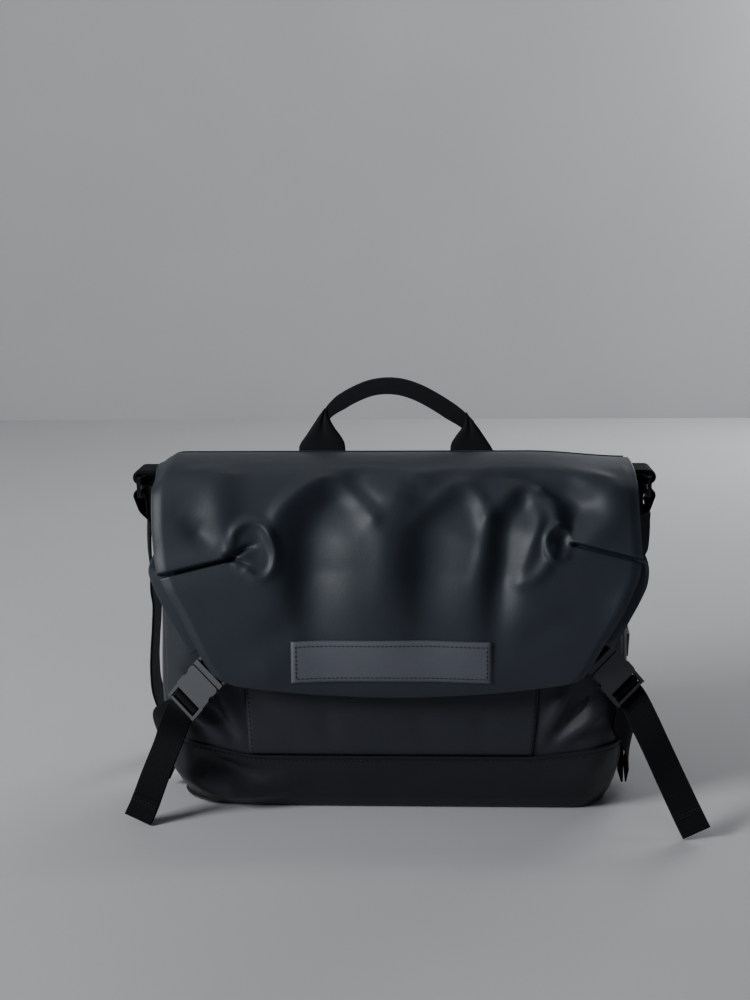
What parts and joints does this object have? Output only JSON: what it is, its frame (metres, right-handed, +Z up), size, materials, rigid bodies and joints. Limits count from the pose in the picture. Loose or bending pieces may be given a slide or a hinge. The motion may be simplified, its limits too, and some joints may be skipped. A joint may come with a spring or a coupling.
{
  "type": "messenger bag",
  "caption": "Soft messenger bag of coated fabric with a wide roll-over flap, side-release buckles on webbing, a grab handle and a long shoulder strap.",
  "frame": {"origin": "on the ground, under the middle of the base", "axes": "+Z up, the front with the flap faces -Y, +X to the right seen from the front"},
  "size_m": [0.4941, 0.2292, 0.367],
  "materials": {
    "coated_fabric": "matte polyurethane coating with a faint bluish sheen",
    "patch_leather": "matte, slightly lighter and warmer than the body",
    "webbing": "ribbed polyester webbing",
    "lining_cloth": "plain woven polyester",
    "buckle_plastic": "satin moulded acetal",
    "black_metal": "satin black coating",
    "stiffener": "plain sheet"
  },
  "bodies": {
    "root": {"base_panel": "coated_fabric", "front_panel": "coated_fabric", "back_panel": "coated_fabric", "gusset_left": "coated_fabric", "gusset_right": "coated_fabric", "lining": "lining_cloth", "base_board": "stiffener", "back_foam": "lining_cloth", "laptop_divider": "lining_cloth", "rim_binding": "webbing", "pocket_panel": "coated_fabric", "flap_hem": "coated_fabric", "handle_anchor_left": "webbing", "side_strap_left": "webbing", "strap_anchor_left": "webbing", "buckle_female_left": "buckle_plastic", "corner_tab_left": "webbing", "handle_anchor_right": "webbing", "side_strap_right": "webbing", "strap_anchor_right": "webbing", "buckle_female_right": "buckle_plastic", "corner_tab_right": "webbing", "shoulder_strap": "webbing"},
    "flap_top": {"flap_top_panel": "coated_fabric"},
    "flap_front": {"flap_front_panel": "coated_fabric", "label_patch": "patch_leather", "buckle_tab_left": "webbing", "buckle_tab_right": "webbing"},
    "handle": {"handle": "webbing"},
    "slider": {"strap_slider": "buckle_plastic"},
    "male_left": {"buckle_male_left": "buckle_plastic"},
    "prong_left_a": {"buckle_prong_left_a": "buckle_plastic"},
    "prong_left_b": {"buckle_prong_left_b": "buckle_plastic"},
    "ring_left": {"ring_left": "black_metal"},
    "male_right": {"buckle_male_right": "buckle_plastic"},
    "prong_right_a": {"buckle_prong_right_a": "buckle_plastic"},
    "prong_right_b": {"buckle_prong_right_b": "buckle_plastic"},
    "ring_right": {"ring_right": "black_metal"}
  },
  "joints": [
    {"name": "flap_top_lift", "type": "hinge", "parent": "root", "child": "flap_top", "pos_m": [0, 0.0417, 0.299], "axis": [-1, 0, 0], "range_deg": [0, 80]},
    {"name": "flap_front_lift", "type": "hinge", "parent": "flap_top", "child": "flap_front", "pos_m": [0, -0.0252, 0.2968], "axis": [-1, 0, 0], "range_deg": [0, 130]},
    {"name": "handle_fold", "type": "hinge", "parent": "root", "child": "handle", "pos_m": [0, 0.048, 0.298], "axis": [-1, 0, 0], "range_deg": [0, 95]},
    {"name": "strap_slider_slide", "type": "slide", "parent": "root", "child": "slider", "axis": [0, -0.2696, 0.963], "range_m": [-0.015, 0.015]},
    {"name": "buckle_left_release", "type": "slide", "parent": "flap_front", "child": "male_left", "axis": [0.6433, -0.0503, 0.7639], "range_m": [0, 0.022], "deforming": ["buckle_tab_left", "buckle_prong_left_a", "buckle_prong_left_b"]},
    {"name": "buckle_left_press_b", "type": "hinge", "parent": "male_left", "child": "prong_left_b", "pos_m": [-0.15139, -0.06652, 0.11938], "axis": [0.29, 0.9395, -0.1824], "range_deg": [0, 10], "stiffness_Nm_per_rad": 0.05},
    {"name": "buckle_left_press_a", "type": "hinge", "parent": "male_left", "child": "prong_left_a", "pos_m": [-0.16273, -0.06109, 0.12929], "axis": [0.29, 0.9395, -0.1824], "range_deg": [-10, 0], "stiffness_Nm_per_rad": 0.05},
    {"name": "ring_left_swing", "type": "hinge", "parent": "root", "child": "ring_left", "pos_m": [-0.221, 0.014, 0.285], "axis": [0, 1, 0], "range_deg": [-5, 5]},
    {"name": "buckle_right_release", "type": "slide", "parent": "flap_front", "child": "male_right", "axis": [-0.6433, -0.0503, 0.7639], "range_m": [0, 0.022], "deforming": ["buckle_tab_right", "buckle_prong_right_a", "buckle_prong_right_b"]},
    {"name": "buckle_right_press_b", "type": "hinge", "parent": "male_right", "child": "prong_right_b", "pos_m": [0.18343, -0.06069, 0.14329], "axis": [-0.29, 0.9395, -0.1824], "range_deg": [0, 10], "stiffness_Nm_per_rad": 0.05},
    {"name": "buckle_right_press_a", "type": "hinge", "parent": "male_right", "child": "prong_right_a", "pos_m": [0.17209, -0.06612, 0.13338], "axis": [-0.29, 0.9395, -0.1824], "range_deg": [-10, 0], "stiffness_Nm_per_rad": 0.05},
    {"name": "ring_right_swing", "type": "hinge", "parent": "root", "child": "ring_right", "pos_m": [0.221, 0.014, 0.285], "axis": [0, 1, 0], "range_deg": [-5, 5]}
  ],
  "couplings": [
    {"joint": "buckle_left_press_a", "follows": "buckle_left_press_b", "ratio": -1},
    {"joint": "buckle_right_press_a", "follows": "buckle_right_press_b", "ratio": -1}
  ]
}
